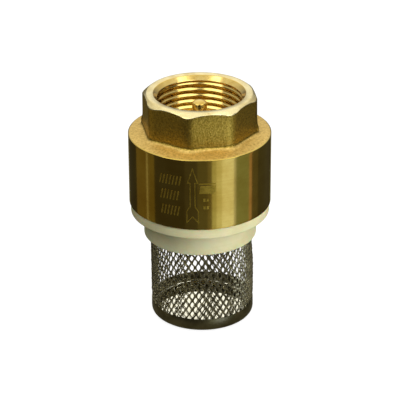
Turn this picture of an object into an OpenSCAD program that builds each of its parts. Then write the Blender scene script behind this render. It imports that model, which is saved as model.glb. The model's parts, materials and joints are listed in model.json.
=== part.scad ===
// Foot valve for a 3/4 inch suction line: a spring-loaded poppet check valve in an octagon-ended
// brass body, with a nylon seat adaptor below it and a stainless strainer basket on the adaptor.
// Millimetres, +Z up. The origin is the centre of the strainer cup's underside, the flow goes up
// along +Z, and two of the octagon's flats face -Y and +Y.

/* [Body] */
// Outside diameter of the turned barrel
barrel_d = 40.6; // [39:0.1:44]
// Height of the turned barrel
barrel_h = 21.4; // [20:0.1:24]
// Distance across the flats of the octagonal end
octagon_af = 31; // [29.5:0.1:32]
// Radius on the eight upright corners of the octagon
octagon_corner_r = 3.0; // [1:0.1:4]
// Height of the octagonal end above the edge of the shoulder
octagon_h = 11.8; // [11:0.1:14]
// Diameter of the circle where the turned chamfer starts on the rim
rim_d = 29.9; // [29:0.1:32]
// Rise of the shoulder from the barrel's edge to the octagon
shoulder_rise = 0.8; // [0.2:0.1:1.2]

/* [Outlet thread] */
// Diameter over the countersink at the mouth of the outlet
mouth_d = 26.2; // [26:0.1:27]
// Diameter inside the thread crests at the mouth (3/4-14 NPT)
thread_minor_d = 23.7; // [23.5:0.1:24]
// Depth of the threaded socket below the rim
socket_depth = 11.5; // [10:0.1:12]

/* [Valve] */
// Diameter of the inlet port through the seat
port_d = 20.6; // [19:0.1:21]
// Diameter of the guided stem
stem_d = 4.25; // [4.1:0.05:4.5]
// Distance from the rim down to the tip of the stem
stem_tip_drop = 2.3; // [1.5:0.1:4]
// Diameter of the seal and of its backing plate
poppet_d = 26.0; // [25:0.1:27]
// Lift of the poppet from shut to fully open
lift = 6.5; // [5:0.1:6.5]

/* [Spring] */
// Wire diameter
wire_d = 0.7; // [0.5:0.05:0.7]
// Mean diameter of the coils
coil_d = 8.4; // [8.4:0.05:8.6]
// Number of turns, with one closed turn at each end
spring_turns = 6; // [4:1:6]

/* [Adaptor] */
// Diameter of the nylon flange under the barrel
flange_d = 39.8; // [39:0.1:40.6]
// Thickness of the flange
flange_h = 2.9; // [2.5:0.1:3.2]
// Diameter of the collar that holds the strainer
collar_d = 32.4; // [32:0.1:34]
// Height of the collar below the flange
collar_h = 7.1; // [6.5:0.1:7.5]

/* [Strainer] */
// Outside diameter of the expanded-metal screen
screen_d = 29.24; // [29:0.02:29.3]
// Depth of the screen's rolled sheet, strand thickness included
screen_t = 0.5; // [0.4:0.05:0.6]
// Outside diameter of the bottom cup
cup_d = 29.76; // [29.7:0.02:29.9]
// Height of the bottom cup
cup_h = 3.95; // [3:0.05:5]
// Outside corner radius of the bottom cup
cup_corner_r = 1.4; // [0.8:0.1:1.6]
// Height of the screen that shows between cup and collar
screen_window_h = 21.55; // [18:0.05:30]

/* [Hidden] */
$fn = 96;
eps = 0.01;

brass = "#c9a54a";
turned_brass = "#b08d3a";
nylon = "#d8d5b4";
nitrile = "#2a2a2c";
stainless = "#8c8a82";

// Levels, from the bottom up
collar_z = cup_h + screen_window_h;
flange_z = collar_z + collar_h;
barrel_z = flange_z + flange_h;
shoulder_z = barrel_z + barrel_h;
rim_z = shoulder_z + octagon_h;

// Octagonal end
corner_count = 8;
corner_turn = 180 / corner_count;
corner_centre_r = (octagon_af / 2 - octagon_corner_r) / cos(corner_turn);
shoulder_inner_r = 16.6;
barrel_edge = 0.3;

// Inside of the body
gasket_bore_r = 18.9;
gasket_bore_h = 1.8;
adaptor_bore_r = 17.8;
adaptor_bore_h = 6.5;
chamber_r = 17.0;
roof_z = barrel_z + 17.0;
waterway_r = 10.6;
socket_z = rim_z - socket_depth;
npt_taper = 1 / 32;
socket_floor_r = thread_minor_d / 2 - socket_depth * npt_taper;
mouth_chamfer_h = (mouth_d - thread_minor_d) / 2;

// Web that guides the stem
guide_clearance = 0.05;
guide_r = stem_d / 2 + guide_clearance;
web_arms = 3;
web_arm_w = 2.4;
web_arm_h = 3.4;
web_hub_r = 4.8;
web_hub_h = 1.6;
web_neck_r = 3.6;
web_boss_r = 3.5;

// Adaptor
neck_r = 17.2;
spigot_r = 17.75;
spigot_h = 5.0;
seat_z = barrel_z + 2.0;
seat_lip_w = 1.7;
seat_crest_w = 0.7;
seat_recess_r = 15.2;
seat_recess_drop = 1.3;
basket_shoulder_z = flange_z - 1.0;
collar_lip_r = 14.7;
collar_lip_h = 2.0;
collar_inner_r = 14.98;
snap_groove_r = 15.35;
snap_z = collar_z + 3.4;
snap_h = 1.0;
collar_edge = 0.25;

// Poppet, from the seat up and down
seal_h = 2.0;
plate_h = 2.0;
plate_boss_h = 1.5;
stem_collar_r = 3.0;
stem_collar_h = 1.2;
clamp_r = 8.5;
clamp_h = 1.5;
washer_h = 0.8;
washer_r = 3.5;
washer_gap = 0.6;
nut_af = 7.0;
nut_h = 3.2;
stem_end_h = 0.8;
neck_thread_r = 2.0;
bored_clearance = 0.03;
stem_dome_h = 0.85;
plate_z = seat_z + seal_h;
plate_top_z = plate_z + plate_h;
stem_collar_z = plate_top_z + plate_boss_h;
stop_gap = 0.05;
web_boss_z = stem_collar_z + stem_collar_h + lift + stop_gap;
clamp_z = seat_z - clamp_h;
washer_z = clamp_z - washer_h;
nut_z = washer_z - nut_h;
stem_bottom_z = nut_z - stem_end_h;
stem_tip_z = rim_z - stem_tip_drop;

// Spring
spring_z = plate_top_z;
spring_l = roof_z - spring_z;
end_pitch = wire_d * 1.03;
wire_sides = 8;
steps_per_turn = 24;

// Strainer
cup_wall = 0.25;
cup_floor = 0.5;
screen_foot_z = cup_floor + cup_corner_r - cup_wall + 0.05;
hoop_t = 0.25;
hoop_gap = 0.02;
hoop_leg_h = 3.2;
hoop_bead_r = 15.2;
hoop_bead_h = 0.8;
screen_top_z = basket_shoulder_z - 0.4;

// Eight-cornered outline with round corners, two flats facing -Y and +Y
module octagon_outline() {
    corners = [for (i = [0 : corner_count - 1]) corner_turn + 2 * corner_turn * i];
    polygon([
        for (a = corners, side = [-1, 1])
            [corner_centre_r * cos(a) + octagon_corner_r * cos(a + side * corner_turn),
             corner_centre_r * sin(a) + octagon_corner_r * sin(a + side * corner_turn)]
    ]);
    for (a = corners)
        rotate(a) translate([corner_centre_r, 0]) circle(r = octagon_corner_r, $fn = 48);
}

// The octagonal end with its turned 45 degree chamfer round the rim
module octagon_end() {
    over = 4;
    intersection() {
        translate([0, 0, shoulder_z - 2]) linear_extrude(octagon_h + 2) octagon_outline();
        union() {
            translate([0, 0, shoulder_z - 2 - eps]) cylinder(h = octagon_h + 2 - over + eps, r = rim_d / 2 + over);
            translate([0, 0, rim_z - over]) cylinder(h = over, r1 = rim_d / 2 + over, r2 = rim_d / 2);
        }
    }
}

// Outside of the barrel and its gently coned shoulder
module barrel() {
    r = barrel_d / 2;
    rotate_extrude() polygon([
        [0, barrel_z],
        [r - barrel_edge, barrel_z],
        [r, barrel_z + barrel_edge],
        [r, shoulder_z - barrel_edge],
        [r - barrel_edge, shoulder_z],
        [shoulder_inner_r, shoulder_z + shoulder_rise],
        [0, shoulder_z + shoulder_rise]
    ]);
}

// Everything bored out of the body: gasket seat, adaptor thread, chamber, waterway and socket
module body_bores() {
    translate([0, 0, barrel_z - eps]) cylinder(h = gasket_bore_h + eps, r = gasket_bore_r);
    translate([0, 0, barrel_z]) cylinder(h = adaptor_bore_h, r = adaptor_bore_r);
    translate([0, 0, barrel_z]) cylinder(h = roof_z - barrel_z, r = chamber_r);
    translate([0, 0, roof_z - eps]) cylinder(h = socket_z - roof_z + 2 * eps, r = waterway_r);
    translate([0, 0, socket_z]) cylinder(h = socket_depth + eps, r1 = socket_floor_r, r2 = thread_minor_d / 2);
    translate([0, 0, rim_z - mouth_chamfer_h])
        cylinder(h = mouth_chamfer_h + eps, r1 = thread_minor_d / 2, r2 = mouth_d / 2 + eps);
}

// Cast web across the waterway: a seat for the spring, a boss that stops the stem, and the guide bore
module guide_web() {
    difference() {
        union() {
            translate([0, 0, web_boss_z]) cylinder(h = roof_z - web_boss_z + eps, r = web_boss_r);
            translate([0, 0, roof_z]) cylinder(h = web_hub_h, r = web_hub_r);
            translate([0, 0, roof_z]) cylinder(h = socket_z - roof_z, r = web_neck_r);
            intersection() {
                for (i = [0 : web_arms - 1])
                    rotate(90 + 360 / web_arms * i)
                        translate([0, -web_arm_w / 2, roof_z + 0.4]) cube([waterway_r + 1, web_arm_w, web_arm_h]);
                translate([0, 0, roof_z]) cylinder(h = web_arm_h + 1, r = waterway_r + 0.5);
            }
        }
        translate([0, 0, web_boss_z - 1]) cylinder(h = socket_z - web_boss_z + 2, r = guide_r);
    }
}

module valve_body() {
    color(brass) {
        difference() {
            union() {
                barrel();
                octagon_end();
            }
            body_bores();
        }
        guide_web();
    }
}

// One turned section: flange, threaded spigot with a recessed raised seat, and the strainer collar
module seat_adaptor() {
    collar_r = collar_d / 2;
    port_r = port_d / 2;
    spigot_z = barrel_z + spigot_h;
    neck_z = barrel_z + gasket_bore_h;
    recess_z = seat_z - seat_recess_drop;
    crest_r = port_r + (seat_lip_w - seat_crest_w) / 2;
    color(nylon) rotate_extrude() polygon([
        [port_r, basket_shoulder_z],
        [collar_inner_r, basket_shoulder_z],
        [collar_inner_r, snap_z + snap_h],
        [snap_groove_r, snap_z + snap_h],
        [snap_groove_r, snap_z],
        [collar_inner_r, snap_z],
        [collar_inner_r, collar_z + collar_lip_h],
        [collar_lip_r, collar_z + collar_lip_h],
        [collar_lip_r, collar_z],
        [collar_r - collar_edge, collar_z],
        [collar_r, collar_z + collar_edge],
        [collar_r, flange_z],
        [flange_d / 2 - collar_edge, flange_z],
        [flange_d / 2, flange_z + collar_edge],
        [flange_d / 2, barrel_z],
        [neck_r, barrel_z],
        [neck_r, neck_z],
        [spigot_r, neck_z + 0.4],
        [spigot_r, spigot_z - 0.4],
        [spigot_r - 0.4, spigot_z],
        [seat_recess_r, spigot_z],
        [seat_recess_r, recess_z],
        [port_r + seat_lip_w, recess_z],
        [crest_r + seat_crest_w, seat_z],
        [crest_r, seat_z],
        [port_r, seat_z - 0.6]
    ]);
}

module body_o_ring() {
    section_r = (gasket_bore_r - neck_r) / 2 - eps;
    color(nitrile) rotate_extrude()
        translate([(gasket_bore_r + neck_r) / 2, barrel_z + section_r + 2 * eps]) circle(r = section_r, $fn = 32);
}

// Stem with a domed tip, a collar that bears on the backing plate, and a threaded end for the nut
module valve_stem() {
    r = stem_d / 2;
    dome_r = (r * r + stem_dome_h * stem_dome_h) / (2 * stem_dome_h);
    color(turned_brass) {
        intersection() {
            translate([0, 0, stem_collar_z]) cylinder(h = stem_tip_z - stem_collar_z, r = r);
            translate([0, 0, stem_tip_z - dome_r]) union() {
                sphere(r = dome_r, $fn = 64);
                translate([0, 0, -dome_r * 10]) cylinder(h = dome_r * 10, r = dome_r);
            }
        }
        translate([0, 0, stem_collar_z]) cylinder(h = stem_collar_h, r = stem_collar_r);
        translate([0, 0, stem_bottom_z + 0.3]) cylinder(h = stem_collar_z - stem_bottom_z - 0.3 + eps, r = neck_thread_r);
        translate([0, 0, stem_bottom_z]) cylinder(h = 0.3 + eps, r1 = neck_thread_r - 0.3, r2 = neck_thread_r);
    }
}

// Flat ring bored for the stem's threaded end
module bored_disc(z, h, r, edge = 0.2) {
    rotate_extrude() polygon([
        [neck_thread_r + bored_clearance, z],
        [r - edge, z],
        [r, z + edge],
        [r, z + h - edge],
        [r - edge, z + h],
        [neck_thread_r + bored_clearance, z + h]
    ]);
}

module backing_plate() {
    color(turned_brass) {
        bored_disc(plate_z, plate_h, poppet_d / 2, 0.3);
        bored_disc(plate_top_z - eps, plate_boss_h + eps, web_boss_r, 0.25);
    }
}

module seal_disc() {
    color(nitrile) bored_disc(seat_z, seal_h, poppet_d / 2, 0.15);
}

module clamp_plate() {
    color(turned_brass) bored_disc(clamp_z, clamp_h, clamp_r, 0.4);
}

// Split spring washer, flattened by the nut
module lock_washer() {
    color(stainless) difference() {
        bored_disc(washer_z, washer_h, washer_r, 0.05);
        translate([0, -washer_gap / 2, washer_z - 1]) cube([washer_r + 1, washer_gap, washer_h + 2]);
    }
}

module lock_nut() {
    corner_r = nut_af / 2 / cos(30);
    top_r = nut_af / 2 - 0.1;
    drop = (corner_r - top_r) * tan(30);
    color(turned_brass) translate([0, 0, nut_z]) difference() {
        intersection() {
            cylinder(h = nut_h, r = corner_r, $fn = 6);
            union() {
                cylinder(h = drop, r1 = top_r, r2 = corner_r);
                translate([0, 0, drop - eps]) cylinder(h = nut_h - 2 * drop + 2 * eps, r = corner_r);
                translate([0, 0, nut_h - drop]) cylinder(h = drop, r1 = corner_r, r2 = top_r);
            }
        }
        translate([0, 0, -1]) cylinder(h = nut_h + 2, r = neck_thread_r + bored_clearance);
    }
}

// Height of the wire's centre after a number of turns: one closed turn, open turns, one closed turn
function wire_z(turn) =
    let (open_turns = spring_turns - 2,
         run = spring_l - wire_d - 2 * end_pitch - 0.04,
         low = min(turn, 1) * end_pitch,
         middle = max(0, min(turn - 1, open_turns)) * run / open_turns,
         high = max(0, turn - 1 - open_turns) * end_pitch)
    wire_d / 2 + 0.02 + low + middle + high;

module return_spring() {
    steps = spring_turns * steps_per_turn;
    points = [
        for (i = [0 : steps], k = [0 : wire_sides - 1])
            let (a = 360 * i / steps_per_turn,
                 b = 360 * k / wire_sides,
                 r = coil_d / 2 + wire_d / 2 * cos(b))
            [r * cos(a), r * sin(a), spring_z + wire_z(i / steps_per_turn) + wire_d / 2 * sin(b)]
    ];
    skin = [
        for (i = [0 : steps - 1], k = [0 : wire_sides - 1])
            let (n = (k + 1) % wire_sides)
            [i * wire_sides + k, i * wire_sides + n, (i + 1) * wire_sides + n, (i + 1) * wire_sides + k]
    ];
    ends = [
        [for (k = [wire_sides - 1 : -1 : 0]) k],
        [for (k = [0 : wire_sides - 1]) steps * wire_sides + k]
    ];
    color(stainless) polyhedron(points, concat(skin, ends), convexity = 10);
}

// Rolled sheet of expanded metal, held here as a plain tube of the same size
module strainer_screen() {
    r = screen_d / 2;
    color(stainless) translate([0, 0, screen_foot_z]) difference() {
        cylinder(h = screen_top_z - screen_foot_z, r = r);
        translate([0, 0, -1]) cylinder(h = screen_top_z - screen_foot_z + 2, r = r - screen_t);
    }
}

// Channel folded over the screen's top edge, with a bead that snaps into the collar's groove
module strainer_hoop() {
    outer = screen_d / 2 + hoop_gap;
    inner = screen_d / 2 - screen_t - hoop_gap;
    top = screen_top_z + hoop_gap;
    foot = top - hoop_leg_h;
    bead_z = snap_z + (snap_h - hoop_bead_h) / 2;
    color(stainless) rotate_extrude() polygon([
        [inner - hoop_t, foot],
        [inner, foot],
        [inner, top],
        [outer, top],
        [outer, foot],
        [outer + hoop_t, foot],
        [outer + hoop_t, bead_z],
        [hoop_bead_r, bead_z + hoop_bead_h / 2 - 0.15],
        [hoop_bead_r, bead_z + hoop_bead_h / 2 + 0.15],
        [outer + hoop_t, bead_z + hoop_bead_h],
        [outer + hoop_t, top + hoop_t],
        [inner - hoop_t, top + hoop_t]
    ]);
}

// Drawn cup with a rounded bottom corner; its wall stands outside the screen's foot
module cup_section(r, corner, foot, top) {
    translate([0, foot + corner]) square([r, top - foot - corner]);
    translate([0, foot]) square([r - corner, corner + eps]);
    translate([r - corner, foot + corner]) circle(r = corner, $fn = 64);
}

module strainer_cup() {
    r = cup_d / 2;
    color(stainless) rotate_extrude() intersection() {
        difference() {
            cup_section(r, cup_corner_r, 0, cup_h);
            cup_section(r - cup_wall, cup_corner_r - cup_wall, cup_floor, cup_h + 1);
        }
        square([r + 1, cup_h]);
    }
}

valve_body();
seat_adaptor();
body_o_ring();
valve_stem();
backing_plate();
seal_disc();
clamp_plate();
lock_washer();
lock_nut();
return_spring();
strainer_screen();
strainer_hoop();
strainer_cup();
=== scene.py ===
"""Looks of a foot valve for a small suction line, modelled with a 3/4 inch outlet.

The valve is a brass check valve body with an octagonal, internally threaded end, a moulded nylon
seat adaptor under it and a strainer basket of rolled expanded metal in a drawn steel cup. Every
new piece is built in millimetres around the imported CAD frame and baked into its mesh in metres.
"""

from __future__ import annotations

import json
import logging
import math
from dataclasses import dataclass
from enum import Enum
from typing import Callable

import bmesh
import bpy
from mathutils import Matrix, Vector

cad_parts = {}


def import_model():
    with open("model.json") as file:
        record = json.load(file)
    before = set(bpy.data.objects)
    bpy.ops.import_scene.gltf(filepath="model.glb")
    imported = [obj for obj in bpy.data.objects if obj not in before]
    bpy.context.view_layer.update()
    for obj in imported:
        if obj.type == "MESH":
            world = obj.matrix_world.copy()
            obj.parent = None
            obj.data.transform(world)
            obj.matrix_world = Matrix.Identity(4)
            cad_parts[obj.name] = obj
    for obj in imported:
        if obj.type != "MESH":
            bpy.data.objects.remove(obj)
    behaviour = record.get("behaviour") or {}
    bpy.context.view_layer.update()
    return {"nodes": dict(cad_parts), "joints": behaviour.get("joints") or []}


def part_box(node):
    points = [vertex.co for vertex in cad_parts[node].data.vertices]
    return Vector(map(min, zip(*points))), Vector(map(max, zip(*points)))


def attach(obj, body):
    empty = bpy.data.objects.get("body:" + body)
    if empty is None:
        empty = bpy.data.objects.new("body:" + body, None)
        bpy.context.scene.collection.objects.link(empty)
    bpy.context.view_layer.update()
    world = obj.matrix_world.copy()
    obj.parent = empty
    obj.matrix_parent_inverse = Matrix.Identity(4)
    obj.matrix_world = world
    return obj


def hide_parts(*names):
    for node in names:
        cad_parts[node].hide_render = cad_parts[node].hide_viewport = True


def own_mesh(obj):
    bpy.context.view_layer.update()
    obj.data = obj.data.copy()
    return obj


LOG = logging.getLogger("foot_valve")
MM = 0.001
COLLAR_H = 7.1
FULL_TURN = 2.0 * math.pi

Station = tuple[float, float]
RingShape = Callable[[float], Station]


class Body(Enum):
    """The two CAD bodies that a piece can ride on."""

    FIXED = "body"
    POPPET = "poppet"


class Slot(Enum):
    """The record's material slots."""

    BRASS = "brass_body"
    TURNED = "turned_brass"
    NYLON = "nylon"
    NITRILE = "nitrile"
    SPRING = "spring_steel"
    STRAINER = "strainer_steel"


# ---- Small helpers ----


def deselect_all() -> None:
    """Leave edit mode and deselect every object."""
    if bpy.context.object and bpy.context.object.mode != "OBJECT":
        bpy.ops.object.mode_set(mode="OBJECT")
    bpy.ops.object.select_all(action="DESELECT")


def pick(*objects: bpy.types.Object) -> None:
    """Select only these objects and make the first one active.

    Args:
        objects: The objects to select.
    """
    deselect_all()
    for item in objects:
        item.select_set(True)
    bpy.context.view_layer.objects.active = objects[0]


def named(name: str) -> bpy.types.Object:
    """Give the active object and its mesh a name.

    Args:
        name: The piece's name.

    Returns:
        The active object.
    """
    piece = bpy.context.object
    piece.name = name
    piece.data.name = name
    return piece


def join(pieces: list[bpy.types.Object], name: str) -> bpy.types.Object:
    """Join meshes into one object.

    Args:
        pieces: The objects to join.
        name: The name of the joined piece.

    Returns:
        The joined object.
    """
    pick(*pieces)
    bpy.ops.object.join()
    return named(name)


def apply_modifier(piece: bpy.types.Object, kind: str, **settings: object) -> None:
    """Add a modifier to a piece and apply it.

    Args:
        piece: The object to change.
        kind: The modifier's type.
        settings: Values for the modifier's properties.
    """
    pick(piece)
    modifier = piece.modifiers.new(kind.lower(), kind)
    for key, value in settings.items():
        setattr(modifier, key, value)
    bpy.ops.object.modifier_apply(modifier=modifier.name)


def shade(piece: bpy.types.Object, sharp_degrees: float) -> None:
    """Smooth a piece's faces and keep edges above an angle sharp.

    Args:
        piece: The object to shade.
        sharp_degrees: Edges that turn more than this stay sharp.
    """
    pick(piece)
    bpy.ops.object.shade_smooth_by_angle(angle=math.radians(sharp_degrees))


def to_metres(piece: bpy.types.Object) -> None:
    """Bake a piece built in millimetres into metres, with its object at the origin.

    Args:
        piece: The object to scale.
    """
    pick(piece)
    piece.scale = (MM, MM, MM)
    bpy.ops.object.transform_apply(location=True, rotation=True, scale=True)


def fit(piece: bpy.types.Object, body: Body, slot: Slot, *nodes: str) -> None:
    """Hand a finished piece to the frame.

    Args:
        piece: The finished object.
        body: The CAD body that it rides on.
        slot: Not used.
        nodes: The CAD nodes that it stands for.
    """
    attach(piece, body.value)
    if nodes:
        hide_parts(*nodes)


def dress(
    piece: bpy.types.Object, sharp_degrees: float, finishes: list[Finish], body: Body, slot: Slot, *nodes: str
) -> bpy.types.Object:
    """Shade a piece built in millimetres, give it its finishes and hand it to the frame in metres.

    Args:
        piece: The object in millimetres.
        sharp_degrees: Edges that turn more than this stay sharp.
        finishes: Its finishes, in the order of its material indices.
        body: The CAD body that it rides on.
        slot: The record's material slot, handed on to fit.
        nodes: The CAD nodes that it stands for.

    Returns:
        The finished piece.
    """
    shade(piece, sharp_degrees)
    for finish in finishes:
        piece.data.materials.append(finish.build())
    to_metres(piece)
    fit(piece, body, slot, *nodes)
    return piece


# ---- Turning: a ring of edges extruded through stations, as on a lathe ----


@dataclass
class Cut:
    """One ring of a turned piece and the finish of the band that leads to it.

    Attributes:
        shape: Gives radius and height in millimetres at an angle.
        finish: Material index of the band between the ring before and this one.
    """

    shape: RingShape
    finish: int = 0


def circle(radius: float, height: float) -> RingShape:
    """A round ring at one height, in millimetres."""
    return lambda angle: (radius, height)


def rounded(points: list[Station], radius: float, steps: int = 4) -> list[Station]:
    """Round the corners of an open profile with short arcs.

    Args:
        points: Radius and height of each corner, in millimetres.
        radius: Radius of the arcs; a corner with short sides gets a smaller one.
        steps: Number of segments in each arc.

    Returns:
        The profile with every inner corner rounded.
    """
    out = [points[0]]
    for before, corner, after in zip(points, points[1:], points[2:]):
        here = Vector(corner)
        back = Vector(before) - here
        ahead = Vector(after) - here
        turn = back.angle(ahead)
        if turn > math.radians(172):
            out.append(corner)
            continue
        trim = min(radius / math.tan(turn / 2), 0.45 * back.length, 0.45 * ahead.length)
        start = here + back.normalized() * trim
        end = here + ahead.normalized() * trim
        for step in range(steps + 1):
            t = step / steps
            point = start * (1 - t) ** 2 + here * 2 * t * (1 - t) + end * t**2
            out.append((point.x, point.y))
    out.append(points[-1])
    return out


def cuts(points: list[Station], finish: int = 0) -> list[Cut]:
    """Turn a profile into round rings of one finish."""
    return [Cut(circle(r, z), finish) for r, z in points]


def turn_ring(name: str, angles: list[float], rings: list[Cut], closed: bool) -> bpy.types.Object:
    """Build a turned piece: a circle is extruded ring by ring, and each new ring is placed.

    Args:
        name: The piece's name.
        angles: Angles of the ring's vertices, in radians.
        rings: The rings in order.
        closed: True if the last ring meets the first, so that the section is a closed loop;
            otherwise both ends are drawn in to a point.

    Returns:
        The object, still in millimetres.
    """
    deselect_all()
    bpy.ops.mesh.primitive_circle_add(vertices=len(angles), radius=1.0, location=(0, 0, 0))
    piece = named(name)
    bpy.ops.object.mode_set(mode="EDIT")
    mesh = bmesh.from_edit_mesh(piece.data)
    for vert, angle in zip(mesh.verts, angles):
        radius, height = rings[0].shape(angle)
        vert.co = (radius * math.cos(angle), radius * math.sin(angle), height)
    if not closed:
        bpy.ops.mesh.edge_face_add()
        bpy.ops.mesh.select_all(action="DESELECT")
        bpy.ops.mesh.select_non_manifold()
    for ring in rings[1:]:
        bpy.ops.mesh.extrude_edges_move()
        mesh = bmesh.from_edit_mesh(piece.data)
        for vert in (v for v in mesh.verts if v.select):
            angle = math.atan2(vert.co.y, vert.co.x)
            radius, height = ring.shape(angle)
            vert.co = (radius * math.cos(angle), radius * math.sin(angle), height)
        for edge in (e for e in mesh.edges if e.select):
            for face in edge.link_faces:
                face.material_index = ring.finish
    if not closed:
        bpy.ops.mesh.edge_face_add()
    bpy.ops.mesh.select_all(action="SELECT")
    bpy.ops.mesh.remove_doubles(threshold=1e-4)
    bpy.ops.mesh.normals_make_consistent(inside=False)
    bpy.ops.object.mode_set(mode="OBJECT")
    return piece


def even_angles(count: int) -> list[float]:
    """Angles spread evenly over a full turn, from -pi."""
    return [FULL_TURN * i / count - math.pi + 1e-4 for i in range(count)]


# ---- Finishes ----


def linear(hex_colour: str) -> tuple[float, float, float, float]:
    """Turn an sRGB hex colour into a linear RGBA colour.

    Args:
        hex_colour: A colour such as #c8a040.

    Returns:
        Linear red, green, blue and an alpha of one.
    """
    channels = [int(hex_colour[i : i + 2], 16) / 255 for i in (1, 3, 5)]
    red, green, blue = (c / 12.92 if c <= 0.04045 else ((c + 0.055) / 1.055) ** 2.4 for c in channels)
    return red, green, blue, 1.0


def add_node(
    tree: bpy.types.NodeTree,
    kind: str,
    values: dict[str, object] | None = None,
    links: dict[str, bpy.types.NodeSocket] | None = None,
    **settings: object,
) -> bpy.types.ShaderNode:
    """Add a shader node with its settings, socket values and links.

    Args:
        tree: The node tree.
        kind: The node's type.
        values: Default values by input socket name.
        links: Sockets to link by input socket name.
        settings: Properties of the node.

    Returns:
        The new node.
    """
    node = tree.nodes.new(kind)
    for key, value in settings.items():
        setattr(node, key, value)
    for key, value in (values or {}).items():
        node.inputs[key].default_value = value
    for key, socket in (links or {}).items():
        tree.links.new(socket, node.inputs[key])
    return node


def blank_material(name: str) -> tuple[bpy.types.Material, bpy.types.NodeTree]:
    """A new node material and its empty node tree."""
    material = bpy.data.materials.new(name)
    material.use_nodes = True
    material.node_tree.nodes.clear()
    return material, material.node_tree


def add_noise(
    tree: bpy.types.NodeTree, place: bpy.types.NodeSocket, scale: float, detail: float, roughness: float = 0.5
) -> bpy.types.NodeSocket:
    """Add a noise texture.

    Args:
        tree: The node tree.
        place: The coordinates it is read at.
        scale: Its scale.
        detail: Its number of octaves.
        roughness: How strong the finer octaves are.

    Returns:
        The noise's value, from 0 to 1.
    """
    values = {"Scale": scale, "Detail": detail, "Roughness": roughness}
    return add_node(tree, "ShaderNodeTexNoise", values, {"Vector": place}).outputs["Fac"]


@dataclass(frozen=True)
class Finish:
    """A surface finish of one real material.

    Attributes:
        name: What the material is and how its surface was made.
        light: Colour of the cleaner patches, sRGB hex.
        dark: Colour of the duller patches, sRGB hex.
        metallic: 1 for bare metal, 0 for plastic and rubber.
        rough_low: Roughness of the smoothest patches.
        rough_high: Roughness of the dullest patches.
        patch_mm: Size of the colour patches.
        grain_mm: Width of the surface's grain across (x, y) and along z.
        grain_depth_mm: Height of the grain.
        grain_strength: How strongly the grain tilts the surface, from 0 to 1.
        anisotropy: How far turning lines stretch a reflection.
        sheen_through: Share of light that goes into the material and out again.
        pit_depth_mm: Depth of the coarser pits; 0 leaves them out.
        pit_mm: Width of the pits.
    """

    name: str
    light: str
    dark: str
    metallic: float
    rough_low: float
    rough_high: float
    patch_mm: float
    grain_mm: tuple[float, float, float]
    grain_depth_mm: float
    grain_strength: float = 0.5
    anisotropy: float = 0.0
    sheen_through: float = 0.0
    pit_depth_mm: float = 0.0
    pit_mm: float = 0.5

    def build(self) -> bpy.types.Material:
        """Make the node material.

        Returns:
            The material.
        """
        material, tree = blank_material(self.name)
        place = add_node(tree, "ShaderNodeTexCoord").outputs["Object"]
        patches = add_noise(tree, place, 1.0 / (self.patch_mm * MM), 4.0, 0.6)
        spread = add_node(
            tree,
            "ShaderNodeMapRange",
            {"From Min": 0.35, "From Max": 0.65},
            {"Value": patches},
        ).outputs["Result"]
        grain_scale = tuple(1.0 / (size * MM) for size in self.grain_mm)
        stretched = add_node(
            tree, "ShaderNodeMapping", {"Scale": grain_scale}, {"Vector": place}, vector_type="POINT"
        ).outputs["Vector"]
        grain = add_noise(tree, stretched, 1.0, 3.0, 0.55)
        both = add_node(tree, "ShaderNodeMath", operation="MULTIPLY_ADD")
        both.inputs[1].default_value = 0.7
        both.inputs[2].default_value = -0.2
        tree.links.new(grain, both.inputs[0])
        total = add_node(tree, "ShaderNodeMath", operation="ADD", use_clamp=True)
        tree.links.new(spread, total.inputs[0])
        tree.links.new(both.outputs["Value"], total.inputs[1])
        colour = add_node(
            tree,
            "ShaderNodeMix",
            {"A": linear(self.dark), "B": linear(self.light)},
            {"Factor": total.outputs["Value"]},
            data_type="RGBA",
        )
        rough = add_node(
            tree,
            "ShaderNodeMapRange",
            {"From Min": 0.3, "From Max": 0.7, "To Min": self.rough_high, "To Max": self.rough_low},
            {"Value": grain},
        ).outputs["Result"]
        bump = add_node(
            tree,
            "ShaderNodeBump",
            {"Strength": self.grain_strength, "Distance": self.grain_depth_mm * MM},
            {"Height": grain},
        )
        if self.pit_depth_mm:
            pits = add_noise(tree, place, 1.0 / (self.pit_mm * MM), 2.0)
            bump = add_node(
                tree,
                "ShaderNodeBump",
                {"Strength": 0.6, "Distance": self.pit_depth_mm * MM},
                {"Height": pits, "Normal": bump.outputs["Normal"]},
            )
        shader = add_node(
            tree,
            "ShaderNodeBsdfPrincipled",
            {
                "Metallic": self.metallic,
                "Anisotropic": self.anisotropy,
                "Subsurface Weight": self.sheen_through,
                "Subsurface Scale": 2.0 * MM,
            },
            {"Base Color": colour.outputs["Result"], "Roughness": rough, "Normal": bump.outputs["Normal"]},
        )
        add_node(tree, "ShaderNodeOutputMaterial", None, {"Surface": shader.outputs["BSDF"]})
        return material


# Brass bar turned on a lathe: mirror bands broken by fine lines round the axis.
TURNED_BARREL = Finish(
    "turned_brass_barrel", "#cdb25c", "#bb9c46", 1.0, 0.08, 0.15, 9.0, (70.0, 70.0, 0.42), 0.03, 0.16
)
# Faced and chamfered brass: the freshest cut, satin; its pale colour is a painted highlight that stands in
# for the washed-out glare on the rim and chamfer.
FACED_RIM = Finish(
    "faced_brass_rim_painted_highlight", "#ecdca4", "#d6c080", 1.0, 0.24, 0.34, 4.0, (0.5, 0.5, 0.5), 0.02, 0.35
)
# Tapped brass: smooth cut flanks of a deeper gold.
TAPPED_THREAD = Finish(
    "tapped_brass_thread", "#e2c474", "#d0ae5a", 1.0, 0.12, 0.18, 3.0, (9.0, 9.0, 1.6), 0.004, 0.06
)
# Hot-pressed brass, shot-blasted: a grainy satin skin that scatters its reflections.
BLASTED_SKIN = Finish(
    "blasted_brass_skin", "#dcbc58", "#a4862e", 1.0, 0.30, 0.44, 0.55, (0.40, 0.40, 0.40), 0.16, 0.7,
    pit_depth_mm=0.12, pit_mm=0.9
)
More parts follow.
